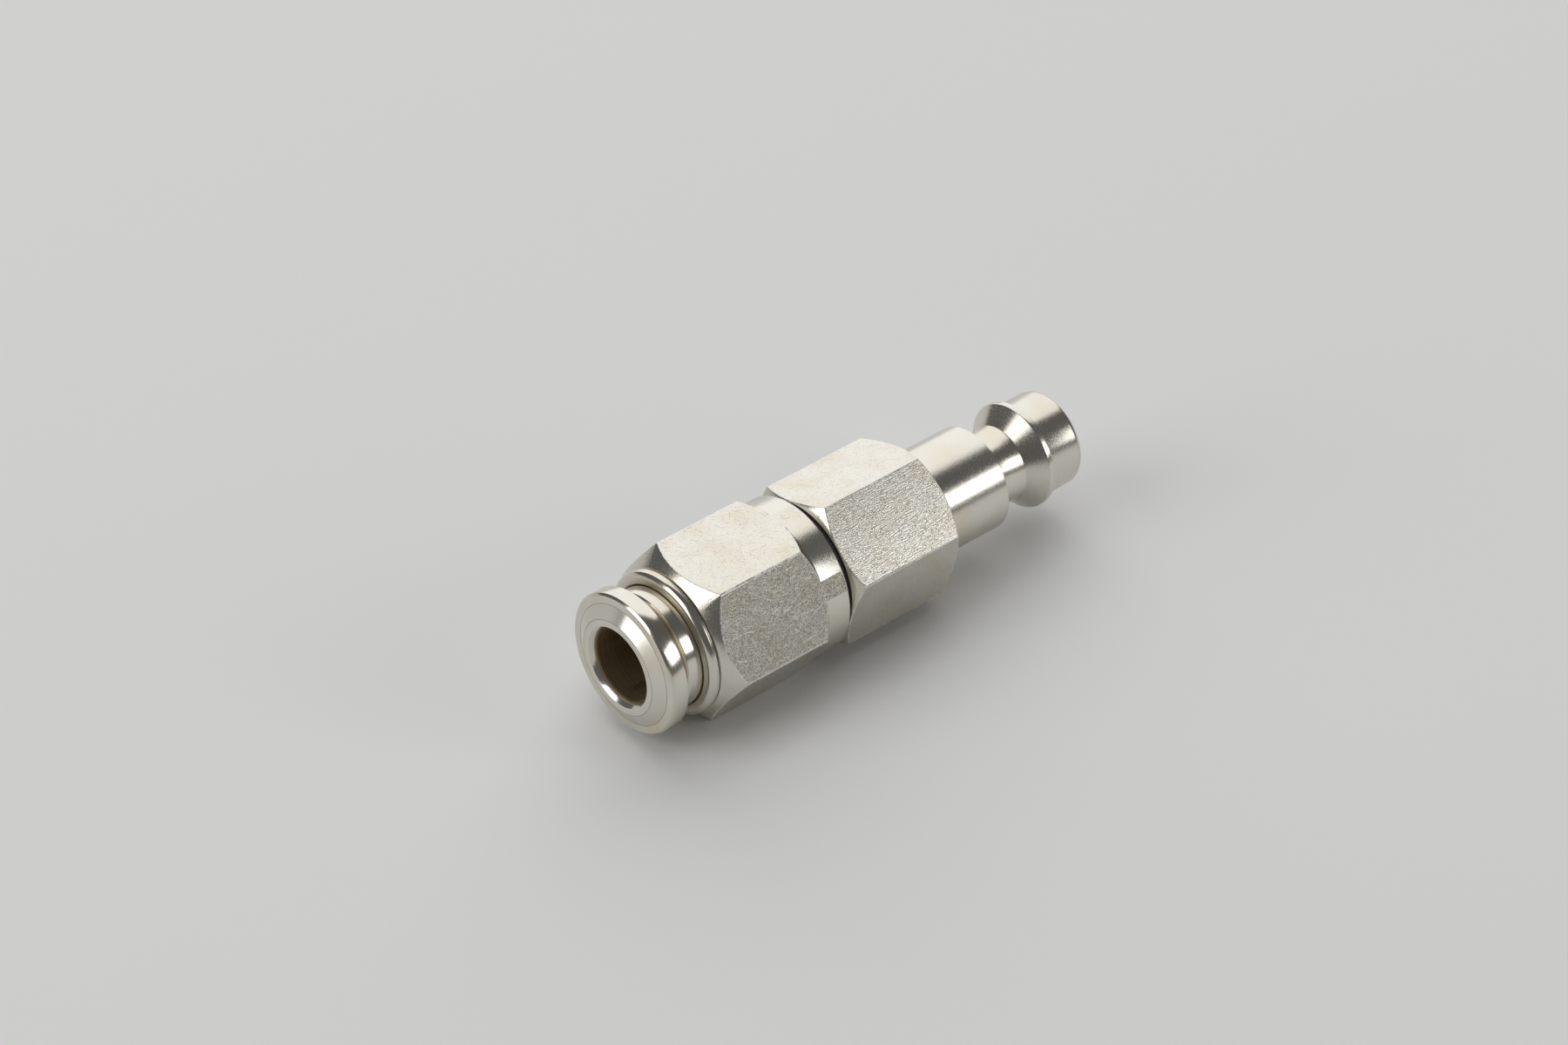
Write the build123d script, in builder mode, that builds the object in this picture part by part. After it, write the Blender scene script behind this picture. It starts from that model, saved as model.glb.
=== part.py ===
"""Quick coupling plug with a push-in tube connector, all in millimetres.

A nickel-plated brass fitting with a push-in socket for a plastic tube is screwed
into the female end of a coupling plug, which holds a spring-loaded shut-off valve.
The coupling lies on its side, as it comes to rest on two of its hexagon edges:
X runs along it, from the release ring to the tip of the plug, and +Z is up.
The origin is on the surface it lies on, under the middle of its length.

Every turned profile is drawn in the plane called section, where the first
coordinate is the distance behind the front face of the release ring and the
second is the distance from the axis.
"""
from math import atan, cos, degrees, radians, sin, sqrt, tan
import os

from build123d import *

os.makedirs("parts", exist_ok=True)

# Tube and fits
tube_diameter = 6.0
tube_clearance = 0.06  # radial, in the bores that guide the tube
running_clearance = 0.05  # radial, between pieces that slide
seat_clearance = 0.02  # between pieces that are pressed, screwed or clamped together
edge_break = 0.12  # small chamfer on turned outer edges

# Release ring
ring_flange_diameter = 11.85
ring_face_diameter = 10.2  # inner edge of the flat face of the flange
ring_nose_diameter = 8.05
ring_nose_length = 0.6
ring_mouth_lead = 0.39  # rounded chamfer that leads the tube in
ring_flange_width = 1.45
ring_neck_diameter = 10.0
ring_rim_break = 0.18  # chamfer round the face of the flange
ring_relief_depth = 0.3  # undercut behind the flange
ring_relief_width = 0.65
ring_neck_showing = 2.2  # neck between the flange and the bush at rest
ring_travel = 1.3
ring_finger_diameter = 8.8  # thin slotted end inside the bush
ring_lip_height = 0.35
ring_lip_length = 0.7
ring_nose_cone_length = 1.2  # inner end that spreads the teeth of the grip ring
ring_nose_cone_wall = 0.4
ring_slot_count = 4
ring_slot_width = 0.7

# Retaining bush
bush_head_diameter = 12.1
bush_head_length = 0.75
bush_head_radius = 0.55  # rounded nose
bush_seam_width = 0.2  # groove between the head and the body
bush_seam_depth = 0.25
bush_wall = 0.55
bush_ledge_depth = 3.65  # from the nose to the inner rib that holds the release ring
bush_ledge_length = 0.7
lip_run_out = 0.2  # room behind the lip when the release ring is pushed home

# Grip ring, its support and the tube seal
grip_thickness = 0.3
grip_rim_width = 0.95
grip_tooth_count = 10
grip_tooth_gap = 0.35
grip_tooth_angle = 38.0  # degrees, from the plane of the rim
grip_bite = 0.1  # how far the teeth reach inside the tube's diameter
support_length = 2.2
support_rim_length = 0.5
support_flex_room = 0.15  # radial, between the root of the teeth and the dish behind them
support_lip_step = 0.3
seal_section_diameter = 1.6
seal_squeeze = 0.05  # how far the seal reaches inside the tube's diameter

# Fitting body
front_hex_across_flats = 13.0
body_mouth_diameter = 12.0
body_turned_diameter = 13.1
body_length = 12.7  # from the mouth to the collar face
front_hex_rear_corner = 9.5  # from the mouth to the rear end of the hexagon's edges
seal_pocket_length = 1.9
tube_stop_depth = 2.0  # behind the seal pocket
body_through_diameter = 4.6

# Threaded joint, drawn at its pitch diameter
thread_pitch_diameter = 9.15
thread_length = 6.6
thread_relief_diameter = 8.2
thread_relief_length = 1.0
joint_seal_thickness = 0.72
joint_seal_diameter = 11.8

# Plug
rear_hex_across_flats = 12.0
rear_hex_length = 11.1
rear_hex_chamfer_angle = 35.0  # degrees, from the end faces
rear_hex_face_diameter = 11.8
hex_clocking = 19.6  # degrees that the rear hexagon stands back from the front one
shaft_diameter = 8.9
shaft_length = 6.95
neck_diameter = 6.3
neck_length = 3.1
bulge_diameter = 9.0
bulge_width = 0.8
bulge_break = 0.16
tip_diameter = 8.1
tip_length = 3.45
tip_radius = 0.6
port_lead = 0.5  # chamfer at the mouth of the female thread
valve_chamber_diameter = 6.4
chamber_end_wall = 0.65  # between the spring chamber and the shoulder at the neck
neck_bore_diameter = 4.7
nose_bore_diameter = 3.5
nose_bore_length = 0.5
tip_recess_diameter = 5.2
tip_recess_depth = 0.6
seat_angle = 45.0

# Shut-off valve
valve_travel = 2.0
poppet_nose_diameter = 3.1
poppet_nose_setback = 0.35  # nose behind the face of the tip
poppet_head_diameter = 3.9
poppet_head_length = 1.9
poppet_stem_diameter = 2.2
poppet_seal_section = 0.6
poppet_seal_standoff = 0.2  # the seal's middle behind the start of the seat
collar_diameter = 5.6
collar_thickness = 0.8
collar_end_room = 1.4  # between the collar and the end of the spring chamber
collar_flat_count = 3
collar_flat_depth = 0.6
guide_thickness = 1.2
guide_boss_diameter = 3.4
guide_hole_count = 4
guide_hole_diameter = 1.5
spring_wire_diameter = 0.5
spring_mean_diameter = 4.9
spring_turns = 7

# Distances behind the front face of the release ring
flange_front = ring_nose_length
flange_back = flange_front + ring_flange_width
bush_front = flange_back + ring_neck_showing
body_mouth = bush_front + bush_head_length + bush_seam_width
body_collar = body_mouth + body_length
rear_hex_front = body_collar + joint_seal_thickness
rear_hex_back = rear_hex_front + rear_hex_length
shaft_end = rear_hex_back + shaft_length
neck_end = shaft_end + neck_length
bulge_front = neck_end + (bulge_diameter - neck_diameter) / 2 - bulge_break
bulge_back = bulge_front + bulge_width
tip_end = bulge_back + tip_length
overall_length = tip_end

# Radii that several pieces share
tube_bore_radius = tube_diameter / 2 + tube_clearance
neck_radius = ring_neck_diameter / 2
finger_radius = ring_finger_diameter / 2
lip_radius = finger_radius + ring_lip_height
ledge_radius = finger_radius + running_clearance
bush_bore_radius = neck_radius + running_clearance
bush_outer_radius = bush_bore_radius + bush_wall
pocket_radius = bush_outer_radius + seat_clearance
seal_outer_radius = tube_diameter / 2 - seal_squeeze + seal_section_diameter
front_corner_radius = front_hex_across_flats / sqrt(3)
rear_corner_radius = rear_hex_across_flats / sqrt(3)
thread_radius = thread_pitch_diameter / 2
port_radius = thread_radius + seat_clearance

# Inner stations of the push-in socket
ledge_front = bush_front + bush_ledge_depth
ledge_back = ledge_front + bush_ledge_length
finger_start = ledge_front - ring_travel - running_clearance
lip_front = ledge_back + running_clearance
lip_back = lip_front + ring_lip_length
sleeve_end = lip_back + ring_nose_cone_length
bush_back = lip_back + ring_travel + lip_run_out
grip_back = bush_back + grip_thickness
support_back = grip_back + support_length
seal_pocket_front = support_back + seat_clearance
seal_pocket_back = seal_pocket_front + seal_pocket_length
tube_stop = seal_pocket_back + tube_stop_depth
thread_end = body_collar + thread_length

# Inner stations of the valve
guide_front = thread_end + seat_clearance
port_floor = guide_front + guide_thickness
chamber_back = shaft_end - chamber_end_wall
recess_floor = tip_end - tip_recess_depth
seat_depth = (neck_bore_diameter - nose_bore_diameter) / 2 / tan(radians(seat_angle))
seat_back = recess_floor - nose_bore_length
seat_front = seat_back - seat_depth
poppet_tip = tip_end - poppet_nose_setback
poppet_seal_center = seat_front + poppet_seal_standoff
head_back = poppet_seal_center + poppet_seal_section / 2 + seat_clearance
head_front = head_back - poppet_head_length
collar_back = chamber_back - collar_end_room
collar_front = collar_back - collar_thickness
boss_end = collar_front - valve_travel - running_clearance

# The coupling rolls until one edge of each hexagon touches the surface
roll = atan(
    (rear_corner_radius * sin(radians(60 + hex_clocking)) - front_corner_radius * sin(radians(60)))
    / (front_corner_radius * cos(radians(60)) + rear_corner_radius * cos(radians(60 + hex_clocking)))
)
front_hex_turn = degrees(roll)
rear_hex_turn = front_hex_turn - hex_clocking
axis_height = front_corner_radius * sin(radians(60) + roll)

section = Plane(origin=(-overall_length / 2, 0, axis_height), x_dir=(1, 0, 0), z_dir=(0, -1, 0))
coupling_axis = Axis(origin=section.origin, direction=(1, 0, 0))


def across(station):
    """Plane square to the axis at a station, with its own X towards +Y."""
    origin = section.from_local_coords(Vector(station, 0, 0))
    return Plane(origin=origin, x_dir=(0, 1, 0), z_dir=(1, 0, 0))


def turned(*outline):
    """Revolve a closed outline of (station, radius) points into the current part."""
    with BuildSketch(section) as profile:
        with BuildLine():
            Polyline(*outline, close=True)
        make_face()
    revolve(profile.sketch, axis=coupling_axis)


def mill_hexagon(across_flats, turn):
    """Keep only what lies inside a hexagonal bar along the whole axis."""
    with BuildSketch(across(-1)) as bar:
        RegularPolygon(radius=across_flats / sqrt(3), side_count=6, rotation=turn)
    extrude(bar.sketch, amount=overall_length + 2, mode=Mode.INTERSECT)


# Release ring: flange to push on, neck, and a slotted end with a lip that snaps behind the bush
with BuildPart() as release_ring:
    turned(
        (0, tube_bore_radius + ring_mouth_lead),
        (0, ring_nose_diameter / 2),
        (flange_front, ring_face_diameter / 2),
        (flange_front, ring_flange_diameter / 2 - ring_rim_break),
        (flange_front + ring_rim_break, ring_flange_diameter / 2),
        (flange_back - edge_break, ring_flange_diameter / 2),
        (flange_back, ring_flange_diameter / 2 - edge_break),
        (flange_back, neck_radius - ring_relief_depth),
        (flange_back + ring_relief_width, neck_radius - ring_relief_depth),
        (flange_back + ring_relief_width + ring_relief_depth, neck_radius),
        (finger_start, neck_radius),
        (finger_start, finger_radius),
        (lip_front, finger_radius),
        (lip_front, lip_radius),
        (lip_back - ring_lip_height, lip_radius),
        (lip_back + ring_lip_height, finger_radius - ring_lip_height),
        (sleeve_end, tube_bore_radius + ring_nose_cone_wall),
        (sleeve_end, tube_bore_radius),
        (ring_mouth_lead, tube_bore_radius),
    )
    mouth_rim = release_ring.edges().filter_by(GeomType.CIRCLE).sort_by(Axis.X)
    mouth_rim = [edge for edge in mouth_rim if abs(edge.radius - tube_bore_radius) < 1e-6][0]
    fillet(mouth_rim, ring_mouth_lead)
    with BuildSketch(across(sleeve_end)):
        with PolarLocations(0, ring_slot_count):
            with Locations((lip_radius, 0)):
                Rectangle(2 * lip_radius, ring_slot_width)
    extrude(amount=-(sleeve_end - finger_start - ring_slot_width), mode=Mode.SUBTRACT)
release_ring.part.label = "release_ring"

# Retaining bush: pressed into the mouth, with a rib inside that holds the release ring
with BuildPart() as retaining_bush:
    head_radius = bush_head_diameter / 2
    turned(
        (bush_front, bush_bore_radius),
        (bush_front, head_radius),
        (bush_front + bush_head_length, head_radius),
        (bush_front + bush_head_length, head_radius - bush_seam_depth),
        (body_mouth - seat_clearance, head_radius - bush_seam_depth),
        (body_mouth - seat_clearance, bush_outer_radius),
        (bush_back, bush_outer_radius),
        (bush_back, bush_bore_radius),
        (ledge_back, bush_bore_radius),
        (ledge_back, ledge_radius),
        (ledge_front, ledge_radius),
        (ledge_front, bush_bore_radius),
    )
    nose_edge = retaining_bush.edges().filter_by(GeomType.CIRCLE).group_by(Axis.X)[0].sort_by(SortBy.RADIUS)[-1]
    fillet(nose_edge, bush_head_radius)
retaining_bush.part.label = "retaining_bush"

# Grip ring: one sheet-metal star whose teeth lean inwards and back to hold the tube
with BuildPart() as grip_ring:
    rim_inner = pocket_radius - seat_clearance - grip_rim_width
    tooth_reach = rim_inner - (tube_diameter / 2 - grip_bite)
    tooth_run = tooth_reach * tan(radians(grip_tooth_angle))
    turned(
        (bush_back, rim_inner),
        (bush_back, pocket_radius - seat_clearance),
        (grip_back, pocket_radius - seat_clearance),
        (grip_back, rim_inner),
        (grip_back + tooth_run, rim_inner - tooth_reach),
        (bush_back + tooth_run, rim_inner - tooth_reach),
    )
    with BuildSketch(across(grip_back - grip_thickness / 2)):
        with PolarLocations(0, grip_tooth_count):
            with Locations((rim_inner / 2, 0)):
                Rectangle(rim_inner, grip_tooth_gap)
    extrude(amount=tooth_run + 2 * grip_thickness, both=True, mode=Mode.SUBTRACT)
grip_ring.part.label = "grip_ring"

# Support ring: backs the rim of the grip ring and leaves its teeth room to flex
with BuildPart() as grip_support:
    turned(
        (grip_back, rim_inner + support_flex_room),
        (grip_back, pocket_radius - seat_clearance),
        (support_back, pocket_radius - seat_clearance),
        (support_back, tube_bore_radius),
        (support_back - support_rim_length, tube_bore_radius),
        (support_back - support_rim_length, tube_bore_radius + support_lip_step),
    )
grip_support.part.label = "grip_support"

# Tube seal: a rubber ring in the pocket behind the support ring
with BuildPart() as tube_seal:
    with BuildSketch(section):
        with Locations((
            (seal_pocket_front + seal_pocket_back) / 2,
            seal_outer_radius - seal_section_diameter / 2,
        )):
            Circle(seal_section_diameter / 2)
    revolve(axis=coupling_axis)
tube_seal.part.label = "tube_seal"

# Fitting body: hexagon with turned ends, the push-in socket and a male thread
with BuildPart() as fitting_body:
    cone_reach = front_corner_radius + edge_break
    mouth_radius = body_mouth_diameter / 2
    turned_radius = body_turned_diameter / 2
    corner_end = body_mouth + front_hex_rear_corner
    rear_cone_end = corner_end + front_corner_radius - turned_radius
    through_radius = body_through_diameter / 2
    turned(
        (body_mouth, pocket_radius),
        (body_mouth, mouth_radius),
        (body_mouth + cone_reach - mouth_radius, cone_reach),
        (corner_end - edge_break, cone_reach),
        (rear_cone_end, turned_radius),
        (body_collar - edge_break, turned_radius),
        (body_collar, turned_radius - edge_break),
        (body_collar, thread_relief_diameter / 2),
        (body_collar + thread_relief_length, thread_relief_diameter / 2),
        (body_collar + thread_relief_length, thread_radius),
        (thread_end - port_lead, thread_radius),
        (thread_end, thread_radius - port_lead),
        (thread_end, through_radius),
        (tube_stop, through_radius),
        (tube_stop, tube_bore_radius),
        (seal_pocket_back, tube_bore_radius),
        (seal_pocket_back, seal_outer_radius + seat_clearance),
        (seal_pocket_front, seal_outer_radius + seat_clearance),
        (seal_pocket_front, pocket_radius),
    )
    mill_hexagon(front_hex_across_flats, front_hex_turn)
fitting_body.part.label = "fitting_body"

# Joint seal: flat ring squeezed between the collar and the rear hexagon
with BuildPart() as joint_seal:
    turned(
        (body_collar, thread_relief_diameter / 2 + seat_clearance),
        (body_collar, joint_seal_diameter / 2),
        (rear_hex_front, joint_seal_diameter / 2),
        (rear_hex_front, thread_relief_diameter / 2 + seat_clearance),
    )
joint_seal.part.label = "joint_seal"

# Plug body: hexagon with the female thread, shaft, neck, locking bulge and tip
with BuildPart() as plug_body:
    face_radius = rear_hex_face_diameter / 2
    hex_rise = rear_corner_radius + edge_break - face_radius
    hex_run = hex_rise * tan(radians(rear_hex_chamfer_angle))
    shaft_radius = shaft_diameter / 2
    bulge_radius = bulge_diameter / 2
    chamber_radius = valve_chamber_diameter / 2
    turned(
        (rear_hex_front, port_radius + port_lead),
        (rear_hex_front, face_radius),
        (rear_hex_front + hex_run, face_radius + hex_rise),
        (rear_hex_back - hex_run, face_radius + hex_rise),
        (rear_hex_back, face_radius),
        (rear_hex_back, shaft_radius),
        (shaft_end - edge_break, shaft_radius),
        (shaft_end, shaft_radius - edge_break),
        (shaft_end, neck_diameter / 2),
        (neck_end, neck_diameter / 2),
        (bulge_front, bulge_radius - bulge_break),
        (bulge_front + bulge_break, bulge_radius),
        (bulge_back - bulge_break, bulge_radius),
        (bulge_back, bulge_radius - bulge_break),
        (bulge_back, tip_diameter / 2),
        (tip_end, tip_diameter / 2),
        (tip_end, tip_recess_diameter / 2),
        (recess_floor, nose_bore_diameter / 2),
        (seat_back, nose_bore_diameter / 2),
        (seat_front, neck_bore_diameter / 2),
        (chamber_back, neck_bore_diameter / 2),
        (chamber_back, chamber_radius),
        (port_floor, chamber_radius),
        (port_floor, port_radius),
        (rear_hex_front + port_lead, port_radius),
    )
    rim = plug_body.edges().filter_by(GeomType.CIRCLE).group_by(Axis.X)[-1].sort_by(SortBy.RADIUS)[-1]
    fillet(rim, tip_radius)
    mill_hexagon(rear_hex_across_flats, rear_hex_turn)
plug_body.part.label = "plug_body"

# Valve guide: perforated disc clamped on the floor of the port, with a boss for the stem
with BuildPart() as valve_guide:
    stem_hole = poppet_stem_diameter / 2 + running_clearance
    guide_radius = port_radius - seat_clearance
    turned(
        (guide_front, stem_hole),
        (guide_front, guide_radius),
        (port_floor, guide_radius),
        (port_floor, guide_boss_diameter / 2),
        (boss_end, guide_boss_diameter / 2),
        (boss_end, stem_hole),
    )
    with BuildSketch(across(guide_front)):
        hole_circle = (guide_boss_diameter / 2 + chamber_radius) / 2
        with PolarLocations(hole_circle, guide_hole_count):
            Circle(guide_hole_diameter / 2)
    extrude(amount=guide_thickness, mode=Mode.SUBTRACT)
valve_guide.part.label = "valve_guide"

# Valve poppet: nose that the mating half pushes, head, stem and the collar under the spring
with BuildPart() as valve_poppet:
    stem_radius = poppet_stem_diameter / 2
    groove_depth = poppet_seal_section / 2
    head_radius_back = poppet_head_diameter / 2
    turned(
        (guide_front, 0),
        (guide_front, stem_radius),
        (collar_front, stem_radius),
        (collar_front, collar_diameter / 2),
        (collar_back, collar_diameter / 2),
        (collar_back, stem_radius),
        (head_front - (head_radius_back - stem_radius), stem_radius),
        (head_front, head_radius_back),
        (poppet_seal_center - groove_depth, head_radius_back),
        (poppet_seal_center - groove_depth, head_radius_back - 2 * groove_depth),
        (head_back, head_radius_back - 2 * groove_depth),
        (head_back, poppet_nose_diameter / 2),
        (poppet_tip - edge_break, poppet_nose_diameter / 2),
        (poppet_tip, poppet_nose_diameter / 2 - edge_break),
        (poppet_tip, 0),
    )
    with BuildSketch(across(collar_front)):
        with PolarLocations(collar_diameter / 2, collar_flat_count):
            Rectangle(2 * collar_flat_depth, collar_diameter)
    extrude(amount=collar_thickness, mode=Mode.SUBTRACT)
valve_poppet.part.label = "valve_poppet"

# Poppet seal: small rubber ring that closes against the conical seat
with BuildPart() as poppet_seal:
    with BuildSketch(section):
        with Locations((poppet_seal_center, head_radius_back - groove_depth)):
            Circle(poppet_seal_section / 2)
    revolve(axis=coupling_axis)
poppet_seal.part.label = "poppet_seal"

# Valve spring: wire coil between the guide and the collar
with BuildPart() as valve_spring:
    wire_radius = spring_wire_diameter / 2
    spring_length = collar_front - port_floor - 2 * wire_radius - 2 * seat_clearance
    with BuildLine() as coil:
        Helix(
            pitch=spring_length / spring_turns,
            height=spring_length,
            radius=spring_mean_diameter / 2,
            center=across(port_floor + wire_radius + seat_clearance).origin,
            direction=(1, 0, 0),
        )
    with BuildSketch(Plane(origin=coil.line @ 0, z_dir=coil.line % 0)):
        Circle(wire_radius)
    sweep(path=coil.line)
valve_spring.part.label = "valve_spring"

for piece in (
    release_ring,
    retaining_bush,
    grip_ring,
    grip_support,
    tube_seal,
    fitting_body,
    joint_seal,
    plug_body,
    valve_guide,
    valve_poppet,
    poppet_seal,
    valve_spring,
):
    export_step(piece.part, f"parts/{piece.part.label}.step")

print(f"overall length {overall_length:.2f}, axis height {axis_height:.3f}, roll {front_hex_turn:.2f} degrees")
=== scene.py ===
# %% [markdown]
# # A quick coupling plug with a push-in tube connector
# This lesson dresses a small pneumatic fitting in Blender: nickel-plated brass, turned on a
# lathe and milled to two hexagons. The CAD model comes first, as a fixed frame. The pieces are
# then modelled again with finer edges, and get finishes that look turned, milled or moulded.

# %% Load the frame
import math

import bmesh
import bpy
from mathutils import Matrix, Quaternion, Vector


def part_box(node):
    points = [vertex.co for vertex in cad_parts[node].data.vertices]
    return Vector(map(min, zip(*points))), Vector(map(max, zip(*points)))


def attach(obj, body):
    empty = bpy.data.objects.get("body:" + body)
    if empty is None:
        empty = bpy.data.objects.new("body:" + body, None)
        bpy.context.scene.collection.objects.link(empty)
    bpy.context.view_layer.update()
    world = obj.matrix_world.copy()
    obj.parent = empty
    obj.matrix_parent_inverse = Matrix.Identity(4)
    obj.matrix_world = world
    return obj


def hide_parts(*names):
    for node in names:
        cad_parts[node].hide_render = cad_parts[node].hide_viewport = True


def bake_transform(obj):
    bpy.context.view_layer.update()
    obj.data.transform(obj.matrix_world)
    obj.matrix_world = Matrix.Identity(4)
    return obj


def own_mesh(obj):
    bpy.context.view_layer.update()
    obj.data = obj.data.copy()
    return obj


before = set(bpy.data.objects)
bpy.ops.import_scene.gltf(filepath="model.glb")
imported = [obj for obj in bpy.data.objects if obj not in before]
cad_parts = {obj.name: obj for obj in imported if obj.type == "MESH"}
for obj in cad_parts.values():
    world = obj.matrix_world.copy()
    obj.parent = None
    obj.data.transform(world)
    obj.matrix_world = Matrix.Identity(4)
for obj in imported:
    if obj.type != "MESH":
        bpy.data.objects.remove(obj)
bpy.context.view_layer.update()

# %% [markdown]
# ## Where the pieces lie
# A lathe operator reads every size along the axis from one face, and across it as a radius.
# This script does the same: a station is a distance behind the front face of the release ring,
# in millimetres. The frame tells where that face and the axis are, and where each piece starts
# and ends, so the new pieces follow the CAD model.

# %% Stations and radii from the frame
MM = 0.001
ring_low, ring_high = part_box("release_ring")
FRONT = ring_low.x
AXIS = Vector((0, 0, (ring_low.z + ring_high.z) / 2))
ALONG = Vector((1, 0, 0))


def span(node):
    """First and last station of a CAD node."""
    low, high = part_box(node)
    return (low.x - FRONT) / MM, (high.x - FRONT) / MM


def reach(node):
    """Largest radius of a round CAD node, in millimetres."""
    low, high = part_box(node)
    return (high.y - low.y) / 2 / MM


for node in ("release_ring", "retaining_bush", "fitting_body", "plug_body"):
    print(f"{node}: stations {span(node)[0]:.2f} to {span(node)[1]:.2f}")

# %% [markdown]
# ## Turning
# A turned piece is an outline that goes once round its axis. The outline is a loop of a few
# points in one plane. A vertex bevel rounds each corner, as a lathe tool leaves no edge quite
# sharp, and Spin sweeps the loop through a full circle. Modelling half an outline this way
# gives clean rings of faces, which no primitive with loop cuts would match.

# %% Outline and spin
TURN_STEPS = 192
CORNER_SEGMENTS = 3
WIDE_ROUNDING = 0.2
WELD = 1e-7


def outline(points, closed=True):
    """A wire in the XZ plane from (station, radius, rounding) points, rounded at its corners."""
    wire = bmesh.new()
    verts = [
        wire.verts.new((station * MM, 0, radius * MM)) for station, radius, _ in points
    ]
    pairs = list(zip(verts, verts[1:]))
    if closed:
        pairs.append((verts[-1], verts[0]))
    for pair in pairs:
        wire.edges.new(pair)
    for vert, (_, _, rounding) in zip(verts, points):
        if rounding:
            segments = CORNER_SEGMENTS if rounding < WIDE_ROUNDING else 3 * CORNER_SEGMENTS
            bmesh.ops.bevel(
                wire, geom=[vert], offset=rounding * MM, offset_type="OFFSET",
                affect="VERTICES", segments=segments, profile=0.5, material=-1,
            )
    return wire


def turn(wire, start=0.0, steps=TURN_STEPS):
    """Spin an outline round the axis; start turns its seam away from the top, in degrees."""
    seam = Matrix.Rotation(math.radians(start), 3, "X")
    bmesh.ops.rotate(wire, cent=(0, 0, 0), matrix=seam, verts=wire.verts)
    bmesh.ops.spin(
        wire, geom=wire.verts[:] + wire.edges[:], cent=(0, 0, 0), axis=ALONG,
        angle=math.tau, steps=steps, use_merge=True,
    )
    bmesh.ops.remove_doubles(wire, verts=wire.verts, dist=WELD)
    bmesh.ops.recalc_face_normals(wire, faces=wire.faces)
    return wire


print("helpers for turning:", outline.__name__, turn.__name__)

# %% [markdown]
# ## Milling the hexagons
# On the real bodies the hexagon comes from the bar and the cones are turned into its corners.
# Here it is the other way round: a turned blank is cut by six planes. Bisect keeps what lies
# inside a plane, Edge Loop Fill closes the cut with a flat face, and the curved arcs where
# flats meet cones appear by themselves, as on the real piece. Bevels then dull the long corners
# and, less, the arcs. The new faces get a material of their own, because corners wear first, and
# its near-white nicks are also a painted highlight.

# %% Six flats
TURNED, MILLED, BROKEN_CORNER = 0, 1, 2
CORNER_BREAK = 0.13
ARC_BREAK = 0.05
CORNER_STEPS, ARC_STEPS = 3, 2
SHARP_ANGLE = math.radians(18)


def mill_flats(blank, across_flats, clocking, count=6):
    """Cut flats into a turned blank.

    Clocking is the angle of the first corner from +Y, in degrees.
    """
    for number in range(count):
        angle = math.radians(clocking + 360 / count * (number + 0.5))
        outward = Vector((0, math.cos(angle), math.sin(angle)))
        cut = bmesh.ops.bisect_plane(
            blank, geom=blank.verts[:] + blank.edges[:] + blank.faces[:], dist=WELD,
            plane_co=outward * across_flats / 2 * MM, plane_no=outward, clear_outer=True,
        )
        rim = [item for item in cut["geom_cut"] if isinstance(item, bmesh.types.BMEdge)]
        for face in bmesh.ops.edgeloop_fill(blank, edges=rim)["faces"]:
            face.material_index = MILLED
    bmesh.ops.recalc_face_normals(blank, faces=blank.faces)
    return blank


def break_corners(blank):
    """Dull the long corners between two flats, then the arcs where flats meet turned faces."""
    for wanted, size, segments in (
        ([MILLED, MILLED], CORNER_BREAK, CORNER_STEPS),
        ([TURNED, MILLED], ARC_BREAK, ARC_STEPS),
    ):
        edges = []
        for edge in blank.edges:
            kinds = sorted(face.material_index for face in edge.link_faces)
            if kinds == wanted and edge.calc_face_angle(0) > SHARP_ANGLE:
                edges.append(edge)
        broken = bmesh.ops.bevel(
            blank, geom=edges, offset=size * MM, offset_type="OFFSET", affect="EDGES",
            segments=segments, profile=0.5, clamp_overlap=False, material=-1,
        )
        # the bevel faces get the worn material, whose near-white nicks are partly a painted
        # highlight
        for face in broken["faces"]:
            face.material_index = BROKEN_CORNER
        bmesh.ops.remove_doubles(blank, verts=blank.verts, dist=WELD)
    return blank


print("helpers for milling:", mill_flats.__name__, break_corners.__name__)

# %% [markdown]
# ## Finishing a piece
# Every piece ends the same way. Its mesh moves to its place in the frame while the object
# stays at the origin. Faces are shaded smooth, and a Weighted Normal modifier lets the large
# faces set the shading, so a flat stays flat right up to its rounded edge. The piece then rides
# on its CAD body, and takes the place of its CAD node.

# %% Finish helper
# the modifier's highest weight
LARGE_FACES_FIRST = 100


def finish_piece(shape, name, body, nodes, finishes):
    """Make the object of a bmesh that lies along the X axis, and tie it to the frame."""
    bmesh.ops.translate(shape, vec=Vector((FRONT, 0, AXIS.z)), verts=shape.verts)
    mesh = bpy.data.meshes.new(name)
    shape.to_mesh(mesh)
    shape.free()
    for polygon in mesh.polygons:
        polygon.use_smooth = True
    for finish in finishes:
        mesh.materials.append(finish)
    piece = bpy.data.objects.new(name, mesh)
    bpy.context.scene.collection.objects.link(piece)
    weighted = piece.modifiers.new("weighted normals", "WEIGHTED_NORMAL")
    weighted.keep_sharp = True
    weighted.weight = LARGE_FACES_FIRST
    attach(piece, body)
    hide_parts(*nodes)
    print(f"{name}: {len(mesh.polygons)} faces")
    return piece


# %% [markdown]
# ## Shader arithmetic
# A pattern on metal is mostly arithmetic on a few numbers. Wiring Math nodes by hand hides what
# is worked out, so a small class wraps a node's output and lets Python's own operators add the
# nodes. One more method makes any other node.

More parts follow.
